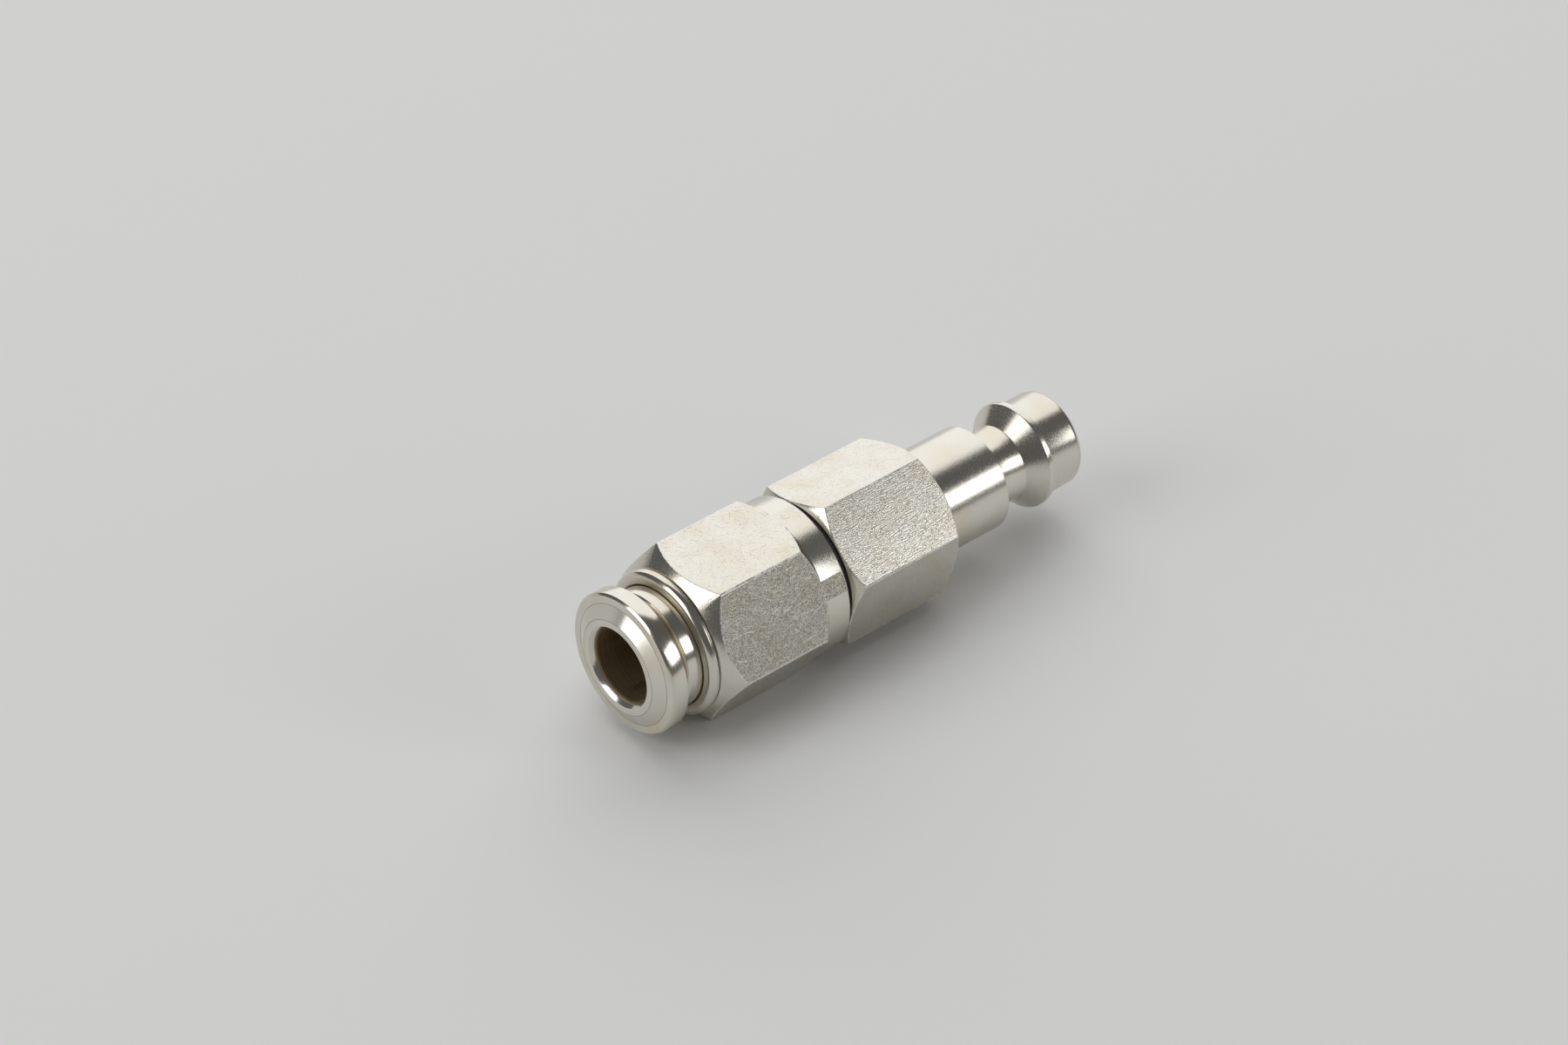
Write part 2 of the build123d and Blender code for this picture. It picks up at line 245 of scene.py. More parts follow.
# %% Wrapped sockets
class Output:
    """One output of a node; arithmetic on it adds Math nodes to the same material."""

    def __init__(self, finish, socket):
        self.finish = finish
        self.socket = socket

    def math(self, operation, *values):
        settings = {"operation": operation}
        return self.finish.node("ShaderNodeMath", settings, dict(enumerate(values)))

    def __add__(self, other):
        return self.math("ADD", self, other)

    def __sub__(self, other):
        return self.math("SUBTRACT", self, other)

    def __rsub__(self, other):
        return self.math("SUBTRACT", other, self)

    def __mul__(self, other):
        return self.math("MULTIPLY", self, other)

    def __truediv__(self, other):
        return self.math("DIVIDE", self, other)

    __radd__ = __add__
    __rmul__ = __mul__

    def absolute(self):
        return self.math("ABSOLUTE", self)

    def ramp(self, low, high):
        """0 below low, 1 above high, smooth between; low above high turns it round."""
        limits = {0: self, 1: min(low, high), 2: max(low, high)}
        smooth = {"interpolation_type": "SMOOTHSTEP"}
        rising = self.finish.node("ShaderNodeMapRange", smooth, limits)
        return rising if low < high else 1 - rising


class Finish:
    """A material around one Principled shader."""

    def __init__(self, name, **constants):
        self.material = bpy.data.materials.new(name)
        self.material.use_nodes = True
        self.tree = self.material.node_tree
        self.shader = self.tree.nodes["Principled BSDF"]
        for socket, value in constants.items():
            self.shader.inputs[socket.replace("_", " ")].default_value = value

    def node(self, kind, settings=None, values=None, output=0):
        """Any node: its settings first, then a value or a link for each socket."""
        node = self.tree.nodes.new(kind)
        for setting, value in (settings or {}).items():
            setattr(node, setting, value)
        for socket, value in (values or {}).items():
            if isinstance(value, Output):
                self.tree.links.new(value.socket, node.inputs[socket])
            else:
                node.inputs[socket].default_value = value
        return Output(self, node.outputs[output])

    def place(self):
        """The point on the object, in metres."""
        return self.node("ShaderNodeTexCoord", output="Object")

    def vector(self, operation, *values, output=0):
        settings = {"operation": operation}
        return self.node("ShaderNodeVectorMath", settings, dict(enumerate(values)), output)

    def noise(self, point, scale, detail=2.0):
        values = {"Vector": point, "Scale": scale, "Detail": detail}
        return self.node("ShaderNodeTexNoise", {}, values)

    def mix(self, share, first, second):
        """A colour between two."""
        settings = {"data_type": "RGBA"}
        return self.node("ShaderNodeMix", settings, {0: share, 6: first, 7: second}, output=2)

    def bump(self, height, depth):
        """A normal from a height between 0 and 1 that stands depth metres high."""
        values = {"Height": height, "Distance": depth, "Strength": 1.0}
        return self.node("ShaderNodeBump", {}, values)

    def drive(self, socket, value):
        self.tree.links.new(value.socket, self.shader.inputs[socket])


print("shader helpers:", Output.__name__, Finish.__name__)

# %% [markdown]
# ## Nickel plate, turned
# Bright nickel is a warm grey metal. The lathe leaves rings finer than a hair across the axis.
# A one-dimensional noise gives them, read along the outline, because every point of a ring has
# the same station and radius. Faces cut square to the axis come out duller than the rest.
# Inside the bore and at the foot of grooves the plating is thin, and the brass below it shows
# through, painted darker than brass as shade that falls there. A thin line of painted shade
# darkens the colour where a flat band meets a cone.

# %% Turned nickel
NICKEL = (0.70, 0.675, 0.61, 1)
NICKEL_WARM = (0.66, 0.61, 0.51, 1)
# thin plate and bare brass, both painted darker than the metal as shade in the bore and grooves
THIN_PLATE_SHADED = (0.52, 0.43, 0.28, 1)
BARE_BRASS_SHADED = (0.30, 0.21, 0.10, 1)
# share in a groove of the thin plate tint, which is darkened as painted shade
GROOVE_THIN_AND_SHADED = 0.9
# painted shade: a dark colour laid in a thin line along each crease, where shade falls
CREASE_PAINTED_SHADE = (0.34, 0.32, 0.28, 1)
RING_PITCH = 0.07 * MM
RING_DEPTH = 0.0007 * MM
GRAIN = 0.06 * MM
RADIUS_SHARE = 0.6
FINE_DETAIL, MEDIUM_DETAIL = 4.0, 3.0
TUBE_BORE = 3.06
# outer radius of the band round the mouth, inner radius of the band at the rim
INNER_BAND, OUTER_BAND = 4.02, 5.10
# first and last station where the plate is thin, its brass tint painted darker as shade
UNDERCUT = (2.07, 2.85)
BUSH_BORE = 5.05


def axis_distance(finish, point):
    """Distance of a point from the coupling's axis, in metres."""
    across = finish.vector("MULTIPLY", finish.vector("SUBTRACT", point, tuple(AXIS)), (0, 1, 1))
    return finish.vector("LENGTH", across, output="Value")


def station_of(finish, point):
    """A point's distance behind the front face, in millimetres."""
    along = finish.node("ShaderNodeSeparateXYZ", {}, {0: point}, output="X")
    return (along - FRONT) / MM


def turned_rings(finish, point, pitch):
    """Noise along the outline: the marks of a lathe tool."""
    along = station_of(finish, point) * MM + RADIUS_SHARE * axis_distance(finish, point)
    values = {"W": along / pitch, "Scale": 1.0, "Detail": FINE_DETAIL}
    return finish.node("ShaderNodeTexNoise", {"noise_dimensions": "1D"}, values)


def turned_surface(name, pits=1.0, grooves=(), creases=(), mouth=0.0):
    """Turned nickel plate; pits scales its grain.

    The plate is thin in grooves, each a pair of stations, and inside the mouth radius; there the
    brass tint is also painted darker as shade. A thin line of painted shade darkens each crease,
    each a radius.
    """
    finish = Finish(name, Metallic=1.0)
    point = finish.place()
    rings = turned_rings(finish, point, RING_PITCH)
    grain = finish.noise(point, 1 / GRAIN, MEDIUM_DETAIL)
    drift = finish.noise(point, 1 / (5 * MM))
    normal = finish.node("ShaderNodeTexCoord", output="Normal")
    facing = finish.node("ShaderNodeSeparateXYZ", {}, {0: normal}, output="X")
    square = facing.absolute().ramp(0.95, 0.99)
    radius = axis_distance(finish, point) / MM
    bore = radius.ramp(mouth + 0.15, mouth + 0.03)
    station = station_of(finish, point)
    thin = bore * 0.9
    # thin plate in the bore and grooves, its colour also darkened as painted shade
    for first, last in grooves:
        groove = station.ramp(first - 0.02, first + 0.02) * station.ramp(last + 0.02, last - 0.02)
        thin = thin + GROOVE_THIN_AND_SHADED * groove
    plate = finish.mix(drift.ramp(0.35, 0.75), NICKEL, NICKEL_WARM)
    # painted shade: a thin darker line of colour along each crease radius
    for crease in creases:
        plate = finish.mix((radius - crease).absolute().ramp(0.04, 0.01), plate, CREASE_PAINTED_SHADE)
    thin_plate_and_shade = finish.mix(rings.ramp(0.35, 0.65), THIN_PLATE_SHADED, BARE_BRASS_SHADED)
    finish.drive("Base Color", finish.mix(thin.ramp(0.0, 1.0), plate, thin_plate_and_shade))
    dull = 0.08 * rings.ramp(0.3, 0.7) + 0.05 * pits * grain.ramp(0.45, 0.7)
    finish.drive("Roughness", 0.12 + dull + 0.26 * square + 0.40 * bore)
    height = (0.6 + 6.0 * bore) * rings + 2.5 * pits * grain
    finish.drive("Normal", finish.bump(height, RING_DEPTH))
    return finish


turned_nickel = turned_surface("turned nickel", pits=3.0)
ring_nickel = turned_surface(
    "turned nickel of the ring", pits=0.5, grooves=(UNDERCUT,),
    creases=(INNER_BAND, OUTER_BAND), mouth=TUBE_BORE,
)
bush_nickel = turned_surface("turned nickel of the bush", pits=0.7, mouth=BUSH_BORE)
for finish in (turned_nickel, ring_nickel, bush_nickel):
    print("finish:", finish.material.name)

# %% [markdown]
# ## Nickel plate, milled
# The flats were drawn as bar, so they are duller, with a fine grain along the axis. Handling
# in a bin with other fittings has covered them with short scratches in all directions. A
# Voronoi texture scatters cells. In each cell one thin line through the middle, turned by the
# cell's own random colour and held in the surface, is one scratch. Three sizes of cell give
# long, middling and short ones.

# %% Milled nickel
DRAWN_GRAIN = 0.08 * MM
DRAWN_STRETCH = 0.15
SPECKLE_GRAIN = 0.085 * MM
SCRATCH_DEPTH = 0.010 * MM
# cell, line width and strength of each size of scratch
SCRATCHES = ((1.3, 0.030, 1.0), (0.7, 0.024, 0.9), (0.35, 0.018, 0.8))


def scratch_lines(finish, point, cell, width):
    """One short line in each Voronoi cell, 1 on the line and 0 off it; sizes in metres."""
    cells = {"Vector": point, "Scale": 1 / cell, "Randomness": 1.0}
    voronoi = finish.node("ShaderNodeTexVoronoi", {}, cells, output="Position")
    colour = Output(finish, voronoi.socket.node.outputs["Color"])
    outward = finish.node("ShaderNodeTexCoord", output="Normal")
    offset = finish.vector("SUBTRACT", point, voronoi)
    offset = finish.vector("SUBTRACT", offset, finish.vector("PROJECT", offset, outward))
    heading = finish.vector("SUBTRACT", colour, (0.5, 0.5, 0.5))
    heading = finish.vector("SUBTRACT", heading, finish.vector("PROJECT", heading, outward))
    run = finish.vector("PROJECT", offset, heading)
    run_length = finish.vector("LENGTH", run, output="Value")
    side = finish.vector("LENGTH", finish.vector("SUBTRACT", offset, run), output="Value")
    return side.ramp(width, 0.3 * width) * run_length.ramp(0.42 * cell, 0.25 * cell)


def milled_surface(name):
    """Drawn and scratched nickel plate."""
    finish = Finish(name, Metallic=1.0)
    point = finish.place()
    along_bar = finish.vector("MULTIPLY", point, (DRAWN_STRETCH, 1, 1))
    drawn = finish.noise(along_bar, 1 / DRAWN_GRAIN, MEDIUM_DETAIL)
    speckle = finish.noise(point, 1 / SPECKLE_GRAIN, MEDIUM_DETAIL)
    height = 0.6 * drawn + 0.55 * speckle
    marks = 0.0
    for cell, width, share in SCRATCHES:
        marks = marks + share * scratch_lines(finish, point, cell * MM, width * MM)
    drift = finish.noise(point, 1 / (3 * MM))
    finish.drive("Base Color", finish.mix(drift.ramp(0.35, 0.75), NICKEL, NICKEL_WARM))
    finish.drive("Roughness", 0.15 + 0.14 * speckle.ramp(0.4, 0.65) + 0.25 * marks)
    finish.drive("Normal", finish.bump(height - 0.42 * marks, SCRATCH_DEPTH))
    return finish


milled_nickel = milled_surface("milled nickel")
print("finish:", milled_nickel.material.name)

# %% [markdown]
# ## Worn corners, with a painted highlight
# Spanners and other fittings bruise the corners of a hexagon, and small nicks stay there. Their
# colour is painted near white with little metal in it, a painted highlight along the corners that
# looks white from any side. One noise sets the nicks, a wider one the stretches of a corner that
# were hit more, and the metal turns rougher and less metallic there. A texture painted by hand
# could do this too, but not in the same way on every corner.

# %% Worn nickel with a painted highlight
# near white: partly real nicks, partly a painted highlight along the corners
NICK_WHITE_AND_HIGHLIGHT = (0.95, 0.94, 0.90, 1)
nickel_nicks_and_highlight = Finish("nickel with nicks and painted highlight")
point = nickel_nicks_and_highlight.place()
nicks = nickel_nicks_and_highlight.noise(point, 1 / (0.15 * MM), FINE_DETAIL)
stretches = nickel_nicks_and_highlight.noise(point, 1 / (1.1 * MM), 2.0)
# mask of the nicks, which is also where the painted highlight goes
nicks_and_highlight = (0.35 + 0.65 * stretches.ramp(0.40, 0.58)) * nicks.ramp(0.62, 0.42)
nickel_nicks_and_highlight.drive("Base Color", nickel_nicks_and_highlight.mix(nicks_and_highlight, NICKEL, NICK_WHITE_AND_HIGHLIGHT))
nickel_nicks_and_highlight.drive("Metallic", 1.0 - 0.8 * nicks_and_highlight)
nickel_nicks_and_highlight.drive("Roughness", 0.26 + 0.28 * nicks_and_highlight)
nickel_nicks_and_highlight.drive("Normal", nickel_nicks_and_highlight.bump(nicks, 0.02 * MM))
print("finish:", nickel_nicks_and_highlight.material.name)

# %% [markdown]
# ## The hidden metals and the rubber
# Inside, the pieces are plain brass and spring steel, and the seals are black rubber. They show
# only through the bore and at the tip, but each gets its own wear: turned rings on brass, drawn
# lines on wire, and the faint bloom of moulded rubber.

# %% Brass, steel and rubber
BRASS = (0.72, 0.52, 0.24, 1)
BRASS_TARNISHED = (0.52, 0.36, 0.15, 1)
STEEL = (0.62, 0.61, 0.59, 1)
STEEL_DARK = (0.50, 0.49, 0.47, 1)
RUBBER = (0.012, 0.012, 0.012, 1)
RUBBER_BLOOM = (0.030, 0.029, 0.028, 1)
MOULD_DEPTH = 0.002 * MM

plain_brass = Finish("plain brass", Metallic=1.0)
point = plain_brass.place()
rings = turned_rings(plain_brass, point, RING_PITCH)
tarnish = plain_brass.noise(point, 1 / (1.2 * MM), FINE_DETAIL)
plain_brass.drive("Base Color", plain_brass.mix(tarnish.ramp(0.4, 0.7), BRASS, BRASS_TARNISHED))
plain_brass.drive("Roughness", 0.20 + 0.15 * tarnish)
plain_brass.drive("Normal", plain_brass.bump(rings, RING_DEPTH))

spring_steel = Finish("spring steel", Metallic=1.0)
point = spring_steel.place()
drawn = spring_steel.noise(point, 1 / (0.1 * MM), MEDIUM_DETAIL)
spring_steel.drive("Base Color", spring_steel.mix(drawn.ramp(0.3, 0.7), STEEL_DARK, STEEL))
spring_steel.drive("Roughness", 0.22 + 0.14 * drawn)
spring_steel.drive("Normal", spring_steel.bump(drawn, RING_DEPTH))

black_rubber = Finish("black rubber", Specular_IOR_Level=0.35)
point = black_rubber.place()
bloom = black_rubber.noise(point, 1 / (0.8 * MM), FINE_DETAIL)
moulded = black_rubber.noise(point, 1 / (0.08 * MM), 2.0)
black_rubber.drive("Base Color", black_rubber.mix(bloom.ramp(0.35, 0.75), RUBBER, RUBBER_BLOOM))
black_rubber.drive("Roughness", 0.50 + 0.25 * bloom)
black_rubber.drive("Normal", black_rubber.bump(moulded, MOULD_DEPTH))
for finish in (plain_brass, spring_steel, black_rubber):
    print("finish:", finish.material.name)

# %% [markdown]
# ## Sawing slots
# The sleeve of the release ring is slotted, so that its fingers can snap into the bush. A
# Boolean could take the slots out, but it leaves long thin triangles. Here each slot gets two
# cuts with Bisect, the strip between them is deleted, and three edge loops are filled as its
# two walls and its floor.

# %% Sawing a slot
NEAR = 10 * WELD


def saw_slot(ring, angle, width, start):
    """Saw a slot from a station to the far end of a ring; angle from +Y, in degrees."""
    outward = Vector((0, math.cos(math.radians(angle)), math.sin(math.radians(angle))))
    across = ALONG.cross(outward)
    half = width / 2 * MM

    def in_reach(item):
        return all(
            vert.co.x > start * MM - WELD and vert.co.dot(outward) > 0 for vert in item.verts
        )

    def near_plane(item, direction, distance):
        return all(abs(vert.co.dot(direction) - distance) < NEAR for vert in item.verts)

    for side in (-half, half):
        faces = [face for face in ring.faces if in_reach(face)]
        edges = dict.fromkeys(edge for face in faces for edge in face.edges)
        verts = dict.fromkeys(vert for face in faces for vert in face.verts)
        bmesh.ops.bisect_plane(
            ring, geom=[*verts, *edges, *faces], dist=WELD,
            plane_co=across * side, plane_no=across,
        )
    strip = [
        face for face in ring.faces
        if in_reach(face) and abs(face.calc_center_median().dot(across)) < half
    ]
    bmesh.ops.delete(ring, geom=strip, context="FACES")
    open_edges = [edge for edge in ring.edges if len(edge.link_faces) == 1 and in_reach(edge)]
    floor_edges = [edge for edge in open_edges if near_plane(edge, ALONG, start * MM)]
    for side in (-half, half):
        wall = [edge for edge in open_edges if near_plane(edge, across, side)]
        ends = dict.fromkeys(vert for edge in wall for vert in edge.verts)
        feet = [vert for vert in ends if abs(vert.co.x - start * MM) < NEAR]
        foot = ring.edges.new(sorted(feet, key=lambda vert: vert.co.dot(outward)))
        bmesh.ops.edgeloop_fill(ring, edges=[*wall, foot])
        floor_edges.append(foot)
    bmesh.ops.edgeloop_fill(ring, edges=floor_edges)
    return ring


print("helper for sawing:", saw_slot.__name__)

# %% [markdown]
# ## The release ring
# Pushing on this ring frees the tube. Its face has two flat bands with a cone between them, and
# a rounded lead-in guides the tube into the bore. An undercut lies behind the flange. The far
# end, deep inside, is a thin sleeve with a snap lip and four slots. It is turned from one
# outline, as on a lathe, and sawn afterwards.

# %% Release ring
LEAD_IN = 0.39
NECK = 5.0
RIM_BREAK = 0.18
RELIEF_RADIUS = 4.7
FINGER = 4.4
LIP = 4.75
LIP_SLOPE = 0.35
NOSE_FOOT = 4.05
NOSE_WALL = 0.4
FLANGE = reach("release_ring")
flange_front, flange_back = 0.6, 2.05
relief_back = flange_back + 0.65
_, sleeve_end = span("release_ring")
lip_front, lip_back = sleeve_end - 1.9, sleeve_end - 1.2
finger_start = lip_front - 2.1
release_outline = (
    (0, TUBE_BORE + LEAD_IN, 0.03),
    (0, INNER_BAND, 0.03),
    (flange_front, OUTER_BAND, 0.02),
    (flange_front, FLANGE - RIM_BREAK, 0.03),
    (flange_front + RIM_BREAK, FLANGE, 0.03),
    (flange_back, FLANGE, 0.06),
    (flange_back, RELIEF_RADIUS, 0.03),
    (relief_back, RELIEF_RADIUS, 0.03),
    (relief_back + NECK - RELIEF_RADIUS, NECK, 0.03),
    (finger_start, NECK, 0.05),
    (finger_start, FINGER, 0.03),
    (lip_front, FINGER, 0.03),
    (lip_front, LIP, 0.05),
    (lip_back - LIP_SLOPE, LIP, 0.05),
    (lip_back + LIP_SLOPE, NOSE_FOOT, 0.05),
    (sleeve_end, TUBE_BORE + NOSE_WALL, 0.05),
    (sleeve_end, TUBE_BORE, 0.05),
    (LEAD_IN, TUBE_BORE, 0.28),
)
SLOTS = 4
SLOT_WIDTH = 0.7
slot_start = finger_start + SLOT_WIDTH
ring_shape = turn(outline(release_outline))
bmesh.ops.bisect_plane(
    ring_shape, geom=ring_shape.verts[:] + ring_shape.edges[:] + ring_shape.faces[:],
    dist=WELD, plane_co=ALONG * slot_start * MM, plane_no=ALONG,
)
for number in range(SLOTS):
    saw_slot(ring_shape, 360 / SLOTS * number, SLOT_WIDTH, slot_start)
bmesh.ops.recalc_face_normals(ring_shape, faces=ring_shape.faces)
print("open edges after sawing:", sum(edge.is_boundary for edge in ring_shape.edges))
finish_piece(
    ring_shape, "ring_to_push", "ring", ["release_ring"],
    [ring_nickel.material],
)

# %% [markdown]
# ## The retaining bush
# This bush is pressed into the mouth of the body. Only its rounded nose shows, with a fine
# groove and the dark seam behind it. The sleeve and its inner rib hold the release ring. It is
# one more outline, spun: the groove is three points of it.

# %% Retaining bush
SEAT = 0.02
bush_front, bush_back = span("retaining_bush")
BUSH_HEAD = reach("retaining_bush")
BUSH_SEAT = BUSH_HEAD - 0.25
BUSH_SLEEVE = 5.6
RIB_BORE = 4.45
body_mouth, thread_end = span("fitting_body")
head_back = bush_front + 0.75
rib_front, rib_back = bush_back - 2.95, bush_back - 2.25
bush_outline = (
    (bush_front, BUSH_BORE, 0.05),
    (bush_front, BUSH_HEAD, 0.55),
    (head_back - 0.17, BUSH_HEAD, 0),
    (head_back - 0.13, BUSH_HEAD - 0.05, 0),
    (head_back - 0.09, BUSH_HEAD, 0),
    (head_back, BUSH_HEAD, 0.04),
    (head_back, BUSH_SEAT, 0.03),
    (body_mouth - SEAT, BUSH_SEAT, 0.03),
    (body_mouth - SEAT, BUSH_SLEEVE, 0),
    (bush_back, BUSH_SLEEVE, 0.05),
    (bush_back, BUSH_BORE, 0.05),
    (rib_back, BUSH_BORE, 0),
    (rib_back, RIB_BORE, 0.05),
    (rib_front, RIB_BORE, 0.05),
    (rib_front, BUSH_BORE, 0),
)
finish_piece(
    turn(outline(bush_outline)), "nose_bush", "coupling", ["retaining_bush"],
    [bush_nickel.material],
)

# %% [markdown]
# ## The fitting body
# A 13 mm hexagon with a cone at the front, and behind it a cone down to a turned collar that
# is a hair wider than the flats: narrow strips of flat run on to its end. The stepped bore
# inside holds the toothed ring, its support and the tube seal. Everything round is in the
# outline, so the six cuts are the only other step.

# %% Fitting body
FRONT_FLATS = 13.0
FRONT_CLOCKING = 3.60
# turns the seam of the spin from +Z to a corner, where the bevel hides it
SEAM_TO_CORNER = 60 - 90
# the blank reaches this far past the corners, so that the flats meet in a line
OVER_CORNER = 0.12
POCKET = 5.62
MOUTH = 6.0
COLLAR = 6.55
THREAD_RELIEF = 4.1
THREAD = 4.575
THREAD_POINT = 4.075
SEAL_POCKET = 4.57
PASSAGE = 2.3
collar_end, _ = span("joint_seal")
pocket_front = span("grip_support")[1] + SEAT
pocket_back = pocket_front + 1.9
tube_stop = pocket_back + 2.0
front_corner = FRONT_FLATS / math.sqrt(3) + OVER_CORNER
rear_cone = body_mouth + 9.38
fitting_outline = (
    (body_mouth, POCKET, 0.04),
    (body_mouth, MOUTH, 0.05),
    (body_mouth + front_corner - MOUTH, front_corner, 0),
    (rear_cone, front_corner, 0),
    (rear_cone + front_corner - COLLAR, COLLAR, 0.05),
    (collar_end, COLLAR, 0.12),
    (collar_end, THREAD_RELIEF, 0.05),
    (collar_end + 1.0, THREAD_RELIEF, 0.05),
    (collar_end + 1.0, THREAD, 0.05),
    (thread_end - 0.5, THREAD, 0.03),
    (thread_end, THREAD_POINT, 0.03),
    (thread_end, PASSAGE, 0.1),
    (tube_stop, PASSAGE, 0.1),
    (tube_stop, TUBE_BORE, 0.05),
    (pocket_back, TUBE_BORE, 0.05),
    (pocket_back, SEAL_POCKET, 0.05),
    (pocket_front, SEAL_POCKET, 0.05),
    (pocket_front, POCKET, 0.05),
)
blank = turn(outline(fitting_outline), start=FRONT_CLOCKING + SEAM_TO_CORNER)
blank = break_corners(mill_flats(blank, FRONT_FLATS, FRONT_CLOCKING))
finish_piece(
    blank, "front_hexagon", "coupling", ["fitting_body"],
    [turned_nickel.material, milled_nickel.material, nickel_nicks_and_highlight.material],
)

# %% [markdown]
# ## The plug body
# The rear body is a 12 mm hexagon, chamfered at both ends, that runs out into a shaft, a thin
# neck, and the locking bulge that the balls of the mating socket catch behind. It stands turned
# a little from the front hexagon, as a thread stops where it is tight. It is made as the front
# body is, and the same two helpers mill it.

# %% Plug body
REAR_FLATS = 12.0
REAR_CLOCKING = -16.0
REAR_CHAMFER = math.tan(math.radians(35))
CHAMFER_CIRCLE = 5.9
JOINT_MOUTH = 5.095
THREAD_BORE = 4.595
SHAFT = 4.45
PLUG_NECK = 3.15
BULGE = 4.5
TIP = 4.05
TIP_MOUTH = 2.6
THROAT = 1.75
VALVE_SEAT = 2.35
CHAMBER = 3.2
hex_front, tip_end = span("plug_body")
hex_back = hex_front + 11.1
shaft_end = hex_back + 6.95
neck_end = shaft_end + 3.1
rear_corner = REAR_FLATS / math.sqrt(3) + OVER_CORNER
chamber_end = shaft_end - 0.65
port_floor = span("valve_guide")[0] + 1.2
rear_run = (rear_corner - CHAMFER_CIRCLE) * REAR_CHAMFER
plug_outline = (
    (hex_front, JOINT_MOUTH, 0.03),
    (hex_front, CHAMFER_CIRCLE, 0.05),
    (hex_front + rear_run, rear_corner, 0),
    (hex_back - rear_run, rear_corner, 0),
    (hex_back, CHAMFER_CIRCLE, 0.05),
    (hex_back, SHAFT, 0.06),
    (shaft_end, SHAFT, 0.10),
    (shaft_end, PLUG_NECK, 0.05),
    (neck_end, PLUG_NECK, 0.05),
    (neck_end + 1.35, BULGE, 0.04),
    (neck_end + 1.83, BULGE, 0.03),
    (neck_end + 1.99, 4.34, 0.02),
    (neck_end + 1.99, TIP, 0.02),
    (tip_end, TIP, 0.55),
    (tip_end, TIP_MOUTH, 0.05),
    (tip_end - 0.6, THROAT, 0.05),
    (tip_end - 1.1, THROAT, 0.03),
    (tip_end - 1.7, VALVE_SEAT, 0.03),
    (chamber_end, VALVE_SEAT, 0.05),
    (chamber_end, CHAMBER, 0.05),
    (port_floor, CHAMBER, 0.05),
    (port_floor, THREAD_BORE, 0.05),
    (hex_front + 0.5, THREAD_BORE, 0.03),
)
blank = turn(outline(plug_outline), start=REAR_CLOCKING + SEAM_TO_CORNER)
blank = break_corners(mill_flats(blank, REAR_FLATS, REAR_CLOCKING))
finish_piece(
    blank, "rear_hexagon_and_plug", "coupling", ["plug_body"],
    [turned_nickel.material, milled_nickel.material, nickel_nicks_and_highlight.material],
)

# %% [markdown]
# ## The seals
# Three rubber pieces: a flat ring between the two hexagons, of which only a dark line shows, and
# two round rings, one for the tube and one on the valve. A ring of round section is a circle
# that is spun, so the same two steps make it.

# %% Seals
UPRIGHT = Matrix.Rotation(math.pi / 2, 4, "X")
SECTION_SEGMENTS = 32
SMALL_TURN_STEPS = 96
TUBE_SEAL_SECTION, POPPET_SEAL_SECTION = 1.6, 0.6


def round_ring(node, section):
    """A ring of round section that fills the length of its CAD node."""
    first, last = span(node)
    middle = (first + last) / 2
    centre = Vector((middle, 0, reach(node) - section / 2)) * MM
    ring = bmesh.new()
    bmesh.ops.create_circle(
        ring, segments=SECTION_SEGMENTS, radius=section / 2 * MM,
        matrix=Matrix.Translation(centre) @ UPRIGHT,
    )
    return turn(ring, steps=SMALL_TURN_STEPS)


finish_piece(
    round_ring("tube_seal", TUBE_SEAL_SECTION), "seal_for_tube", "coupling", ["tube_seal"],
    [black_rubber.material],
)
finish_piece(
    round_ring("poppet_seal", POPPET_SEAL_SECTION), "seal_of_valve", "poppet",
    ["poppet_seal"], [black_rubber.material],
)
gap_front, gap_back = span("joint_seal")
gap_inner, gap_outer = THREAD_RELIEF + SEAT, reach("joint_seal")
gap_outline = (
    (gap_front, gap_inner, 0),
    (gap_front, gap_outer, 0.25),
    (gap_back, gap_outer, 0.25),
    (gap_back, gap_inner, 0),
)
finish_piece(
    turn(outline(gap_outline)), "seal_of_joint", "coupling", ["joint_seal"],
    [black_rubber.material],
)

# %% [markdown]
# ## The valve's poppet
# The poppet's round nose shows at the tip, inside the recess. The mating half pushes it in
# against its spring, so it rides on its own body. Three flats on its collar let air past the
# spring: the helper that mills the hexagons cuts them too.

# %% Poppet
STEM = 1.1
STEM_COLLAR = 2.8
COLLAR_FLATS = 4.4
HEAD = 1.95
SEAL_GROOVE = 1.35
NOSE = 1.55
stem_front, nose_end = span("valve_poppet")
seal_middle = sum(span("poppet_seal")) / 2
groove_front = seal_middle - 0.3
head_end = seal_middle + 0.32
collar_front = span("valve_spring")[1] + SEAT
collar_back = collar_front + 0.8
poppet_outline = (
    (stem_front, 0, 0),
    (stem_front, STEM, 0.1),
    (collar_front, STEM, 0.05),
    (collar_front, STEM_COLLAR, 0.08),
    (collar_back, STEM_COLLAR, 0.08),
    (collar_back, STEM, 0.05),
    (head_end - 2.75, STEM, 0.05),
    (head_end - 1.9, HEAD, 0.05),
    (groove_front, HEAD, 0.05),
    (groove_front, SEAL_GROOVE, 0),
    (head_end, SEAL_GROOVE, 0),
    (head_end, NOSE, 0.03),
    (nose_end, NOSE, 0.2),
    (nose_end, 0, 0),
)
blank = turn(outline(poppet_outline, closed=False), steps=SMALL_TURN_STEPS)
blank = mill_flats(blank, COLLAR_FLATS, 0, count=3)
finish_piece(
    blank, "valve_stem_and_head", "poppet", ["valve_poppet"],
    [plain_brass.material, plain_brass.material],
)

# %% [markdown]
# ## The valve's spring
# A coil spring pushes the poppet shut. It is one circle spun with a step along the axis, and its
# two open ends are filled. A screw modifier would make the same coil, but Spin gives a plain
# mesh at once.

